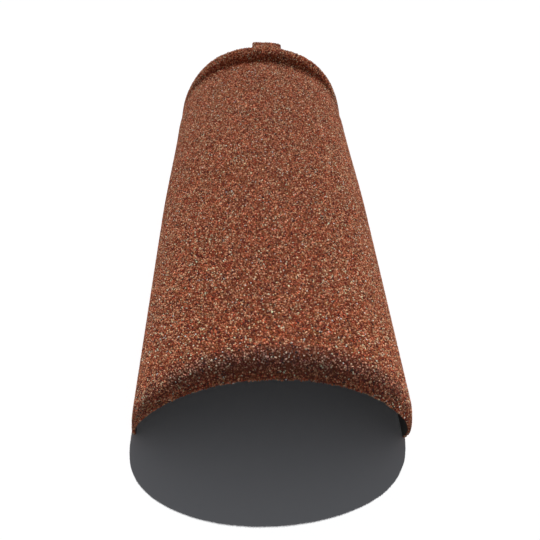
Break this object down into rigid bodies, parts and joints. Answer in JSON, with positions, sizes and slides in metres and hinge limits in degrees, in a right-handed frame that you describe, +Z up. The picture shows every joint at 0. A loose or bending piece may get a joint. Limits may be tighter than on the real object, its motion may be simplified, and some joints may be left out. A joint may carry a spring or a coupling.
{
  "type": "hip and ridge tile",
  "caption": "Half-barrel stone-coated sheet tile that caps a roof's hips and ridges, with a turned-down nose, a raised head and a centre tab.",
  "frame": {"origin": "middle of the underside of the whole tile, on the plane that its two lower edges rest on", "axes": "+Y along the tile from the turned-down nose to the raised head, +X across the tile, +Z up through the crown"},
  "size_m": [0.19, 0.4046, 0.103],
  "materials": {
    "stone_coat": "mixed brick-red, brown and tan mineral granules bonded to the sheet, matt and rough"
  },
  "bodies": {
    "root": {"ridge_tile": "stone_coat"}
  },
  "joints": []
}
